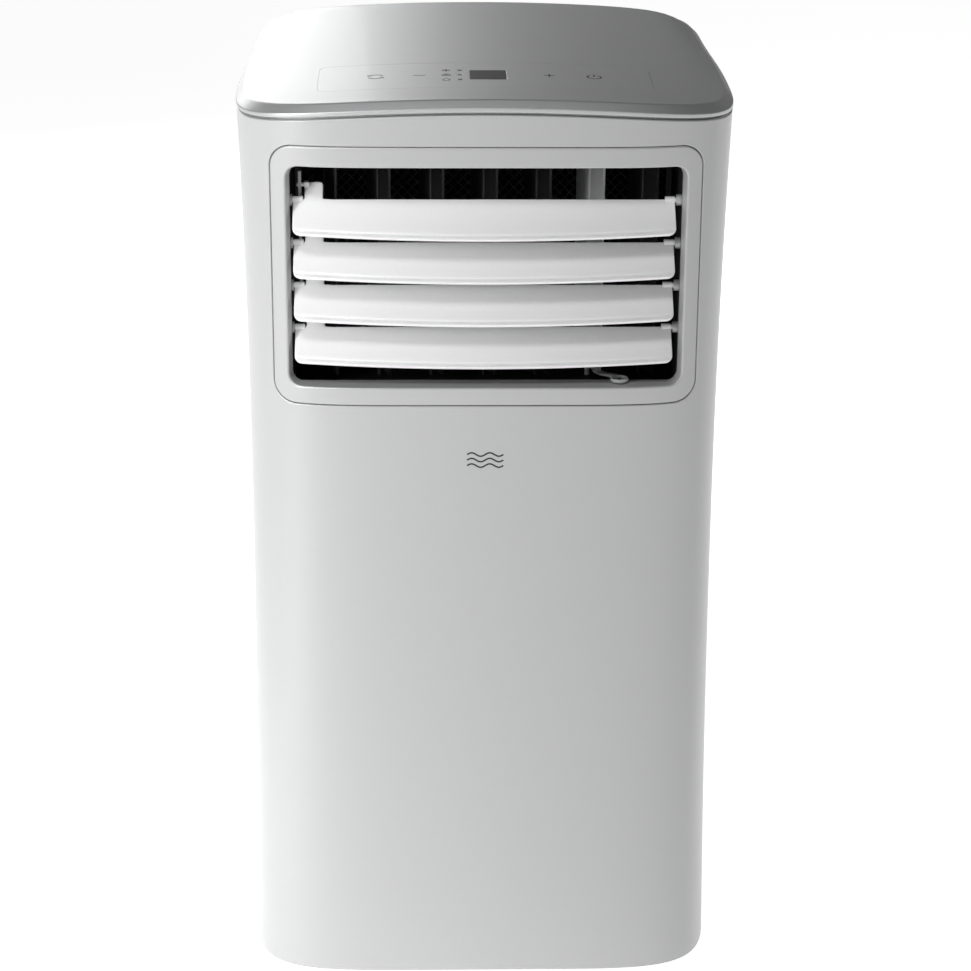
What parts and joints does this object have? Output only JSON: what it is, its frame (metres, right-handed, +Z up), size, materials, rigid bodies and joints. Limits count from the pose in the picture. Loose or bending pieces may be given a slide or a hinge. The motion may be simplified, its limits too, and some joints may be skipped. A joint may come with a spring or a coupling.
{
  "type": "portable air conditioner",
  "caption": "Upright rounded-square portable air conditioner on castors, with a slatted tilting front outlet, a tilted silver lid and rear grilles.",
  "frame": {"origin": "middle of the footprint on the floor", "axes": "+Z up, the air outlet faces -Y, +X is to the right seen from the front"},
  "size_m": [0.354, 0.3459, 0.7017],
  "materials": {
    "casing_plastic": "satin silver-white moulding",
    "louvre_plastic": "satin white moulding",
    "lid_plastic": "silver metallic paint on plastic",
    "display_glass": "smoked window",
    "led_lens": "dark lens",
    "circuit_board": "solder mask",
    "grey_plastic": "light grey moulding",
    "dark_plastic": "dark grey moulding",
    "fan_plastic": "black moulding",
    "motor_steel": "zinc-plated sheet",
    "fin_aluminium": "bright fins",
    "compressor_paint": "black enamel on steel",
    "copper_pipe": "copper tube",
    "rubber": "moulded rubber"
  },
  "bodies": {
    "cabinet": {"base_pan": "dark_plastic", "front_shell": "casing_plastic", "rear_shell": "casing_plastic", "top_cover": "lid_plastic", "control_panel": "lid_plastic", "display_window": "display_glass", "indicator_leds": "led_lens", "display_board": "circuit_board", "louver_frame": "casing_plastic", "air_duct": "dark_plastic", "outlet_guard": "dark_plastic", "blower_scroll": "dark_plastic", "blower_motor": "motor_steel", "evaporator": "fin_aluminium", "drain_tray": "dark_plastic", "condenser": "fin_aluminium", "condenser_scroll": "dark_plastic", "condenser_motor": "motor_steel", "exhaust_duct": "dark_plastic", "compressor": "compressor_paint", "accumulator": "compressor_paint", "compressor_feet": "rubber", "refrigerant_pipes": "copper_pipe", "control_box": "motor_steel", "control_box_cover": "motor_steel", "main_board": "circuit_board", "run_capacitor": "fin_aluminium", "handle_cups": "grey_plastic", "cord_gland": "rubber", "shell_screws": "motor_steel"},
    "louver_1": {"louver_1": "louvre_plastic"},
    "louver_2": {"louver_2": "louvre_plastic"},
    "louver_3": {"louver_3": "louvre_plastic"},
    "louver_4": {"louver_4": "louvre_plastic"},
    "louver_link": {"louver_link": "grey_plastic"},
    "vane_1": {"vane_1": "dark_plastic"},
    "vane_2": {"vane_2": "dark_plastic"},
    "vane_3": {"vane_3": "dark_plastic"},
    "vane_4": {"vane_4": "dark_plastic"},
    "vane_5": {"vane_5": "dark_plastic"},
    "vane_6": {"vane_6": "grey_plastic"},
    "vane_7": {"vane_7": "dark_plastic"},
    "vane_link": {"vane_link": "dark_plastic"},
    "blower_wheel": {"blower_wheel": "fan_plastic"},
    "condenser_wheel": {"condenser_wheel": "fan_plastic"},
    "upper_grille": {"upper_grille": "grey_plastic", "upper_filter": "dark_plastic"},
    "lower_grille": {"lower_grille": "grey_plastic", "lower_filter": "dark_plastic"},
    "castor_fork_1": {"castor_fork_1": "fan_plastic"},
    "castor_wheel_1": {"castor_wheel_1": "fan_plastic"},
    "castor_fork_2": {"castor_fork_2": "fan_plastic"},
    "castor_wheel_2": {"castor_wheel_2": "fan_plastic"},
    "castor_fork_3": {"castor_fork_3": "fan_plastic"},
    "castor_wheel_3": {"castor_wheel_3": "fan_plastic"},
    "castor_fork_4": {"castor_fork_4": "fan_plastic"},
    "castor_wheel_4": {"castor_wheel_4": "fan_plastic"},
    "upper_drain_cap": {"upper_drain_cap": "rubber"},
    "lower_drain_cap": {"lower_drain_cap": "rubber"}
  },
  "joints": [
    {"name": "louver_1_tilt", "type": "hinge", "parent": "cabinet", "child": "louver_1", "pos_m": [0, -0.1485, 0.616], "axis": [1, 0, 0], "range_deg": [-45, 14]},
    {"name": "louver_2_tilt", "type": "hinge", "parent": "cabinet", "child": "louver_2", "pos_m": [0, -0.1485, 0.585], "axis": [1, 0, 0], "range_deg": [-45, 14]},
    {"name": "louver_3_tilt", "type": "hinge", "parent": "cabinet", "child": "louver_3", "pos_m": [0, -0.1485, 0.554], "axis": [1, 0, 0], "range_deg": [-45, 14]},
    {"name": "louver_4_tilt", "type": "hinge", "parent": "cabinet", "child": "louver_4", "pos_m": [0, -0.1485, 0.523], "axis": [1, 0, 0], "range_deg": [-45, 14]},
    {"name": "louver_link_swing", "type": "hinge", "parent": "louver_1", "child": "louver_link", "pos_m": [-0.131, -0.1405, 0.625], "axis": [1, 0, 0], "range_deg": [-14, 45]},
    {"name": "vane_1_swing", "type": "hinge", "parent": "cabinet", "child": "vane_1", "pos_m": [-0.114, -0.1025, 0.56], "axis": [0, 0, 1], "range_deg": [-50, 14]},
    {"name": "vane_2_swing", "type": "hinge", "parent": "cabinet", "child": "vane_2", "pos_m": [-0.076, -0.1025, 0.56], "axis": [0, 0, 1], "range_deg": [-50, 14]},
    {"name": "vane_3_swing", "type": "hinge", "parent": "cabinet", "child": "vane_3", "pos_m": [-0.038, -0.1025, 0.56], "axis": [0, 0, 1], "range_deg": [-50, 14]},
    {"name": "vane_4_swing", "type": "hinge", "parent": "cabinet", "child": "vane_4", "pos_m": [0, -0.1025, 0.56], "axis": [0, 0, 1], "range_deg": [-50, 14]},
    {"name": "vane_5_swing", "type": "hinge", "parent": "cabinet", "child": "vane_5", "pos_m": [0.038, -0.1025, 0.56], "axis": [0, 0, 1], "range_deg": [-50, 14]},
    {"name": "vane_6_swing", "type": "hinge", "parent": "cabinet", "child": "vane_6", "pos_m": [0.076, -0.1025, 0.56], "axis": [0, 0, 1], "range_deg": [-50, 14]},
    {"name": "vane_7_swing", "type": "hinge", "parent": "cabinet", "child": "vane_7", "pos_m": [0.114, -0.1025, 0.56], "axis": [0, 0, 1], "range_deg": [-50, 14]},
    {"name": "vane_link_swing", "type": "hinge", "parent": "vane_6", "child": "vane_link", "pos_m": [0.06916, -0.08264, 0.641], "axis": [0, 0, 1], "range_deg": [-14, 50]},
    {"name": "blower_spin", "type": "hinge", "parent": "cabinet", "child": "blower_wheel", "pos_m": [0, 0.0085, 0.371], "axis": [0, 1, 0], "continuous": true},
    {"name": "condenser_fan_spin", "type": "hinge", "parent": "cabinet", "child": "condenser_wheel", "pos_m": [-0.078, 0.04, 0.156], "axis": [0, 1, 0], "continuous": true},
    {"name": "upper_grille_tilt", "type": "hinge", "parent": "cabinet", "child": "upper_grille", "pos_m": [0, 0.16705, 0.30022], "axis": [-1, 0, 0], "range_deg": [0, 60]},
    {"name": "lower_grille_tilt", "type": "hinge", "parent": "cabinet", "child": "lower_grille", "pos_m": [-0.065, 0.16705, 0.0965], "axis": [-1, 0, 0], "range_deg": [0, 60]},
    {"name": "castor_1_swivel", "type": "hinge", "parent": "cabinet", "child": "castor_fork_1", "pos_m": [-0.11, -0.11, 0.043], "axis": [0, 0, 1], "continuous": true},
    {"name": "castor_1_roll", "type": "hinge", "parent": "castor_fork_1", "child": "castor_wheel_1", "pos_m": [-0.11, -0.098, 0.019], "axis": [1, 0, 0], "continuous": true},
    {"name": "castor_2_swivel", "type": "hinge", "parent": "cabinet", "child": "castor_fork_2", "pos_m": [0.11, -0.11, 0.043], "axis": [0, 0, 1], "continuous": true},
    {"name": "castor_2_roll", "type": "hinge", "parent": "castor_fork_2", "child": "castor_wheel_2", "pos_m": [0.11, -0.098, 0.019], "axis": [1, 0, 0], "continuous": true},
    {"name": "castor_3_swivel", "type": "hinge", "parent": "cabinet", "child": "castor_fork_3", "pos_m": [-0.11, 0.11, 0.043], "axis": [0, 0, 1], "continuous": true},
    {"name": "castor_3_roll", "type": "hinge", "parent": "castor_fork_3", "child": "castor_wheel_3", "pos_m": [-0.11, 0.122, 0.019], "axis": [1, 0, 0], "continuous": true},
    {"name": "castor_4_swivel", "type": "hinge", "parent": "cabinet", "child": "castor_fork_4", "pos_m": [0.11, 0.11, 0.043], "axis": [0, 0, 1], "continuous": true},
    {"name": "castor_4_roll", "type": "hinge", "parent": "castor_fork_4", "child": "castor_wheel_4", "pos_m": [0.11, 0.122, 0.019], "axis": [1, 0, 0], "continuous": true},
    {"name": "upper_drain_cap_pull", "type": "slide", "parent": "cabinet", "child": "upper_drain_cap", "axis": [0, 1, 0], "range_m": [0, 0.013]},
    {"name": "lower_drain_cap_pull", "type": "slide", "parent": "cabinet", "child": "lower_drain_cap", "axis": [0, 1, 0], "range_m": [0, 0.013]}
  ],
  "couplings": [
    {"joint": "louver_2_tilt", "follows": "louver_1_tilt", "ratio": 1},
    {"joint": "louver_3_tilt", "follows": "louver_1_tilt", "ratio": 1},
    {"joint": "louver_4_tilt", "follows": "louver_1_tilt", "ratio": 1},
    {"joint": "louver_link_swing", "follows": "louver_1_tilt", "ratio": -1},
    {"joint": "vane_1_swing", "follows": "vane_6_swing", "ratio": 1},
    {"joint": "vane_2_swing", "follows": "vane_6_swing", "ratio": 1},
    {"joint": "vane_3_swing", "follows": "vane_6_swing", "ratio": 1},
    {"joint": "vane_4_swing", "follows": "vane_6_swing", "ratio": 1},
    {"joint": "vane_5_swing", "follows": "vane_6_swing", "ratio": 1},
    {"joint": "vane_7_swing", "follows": "vane_6_swing", "ratio": 1},
    {"joint": "vane_link_swing", "follows": "vane_6_swing", "ratio": -1}
  ]
}
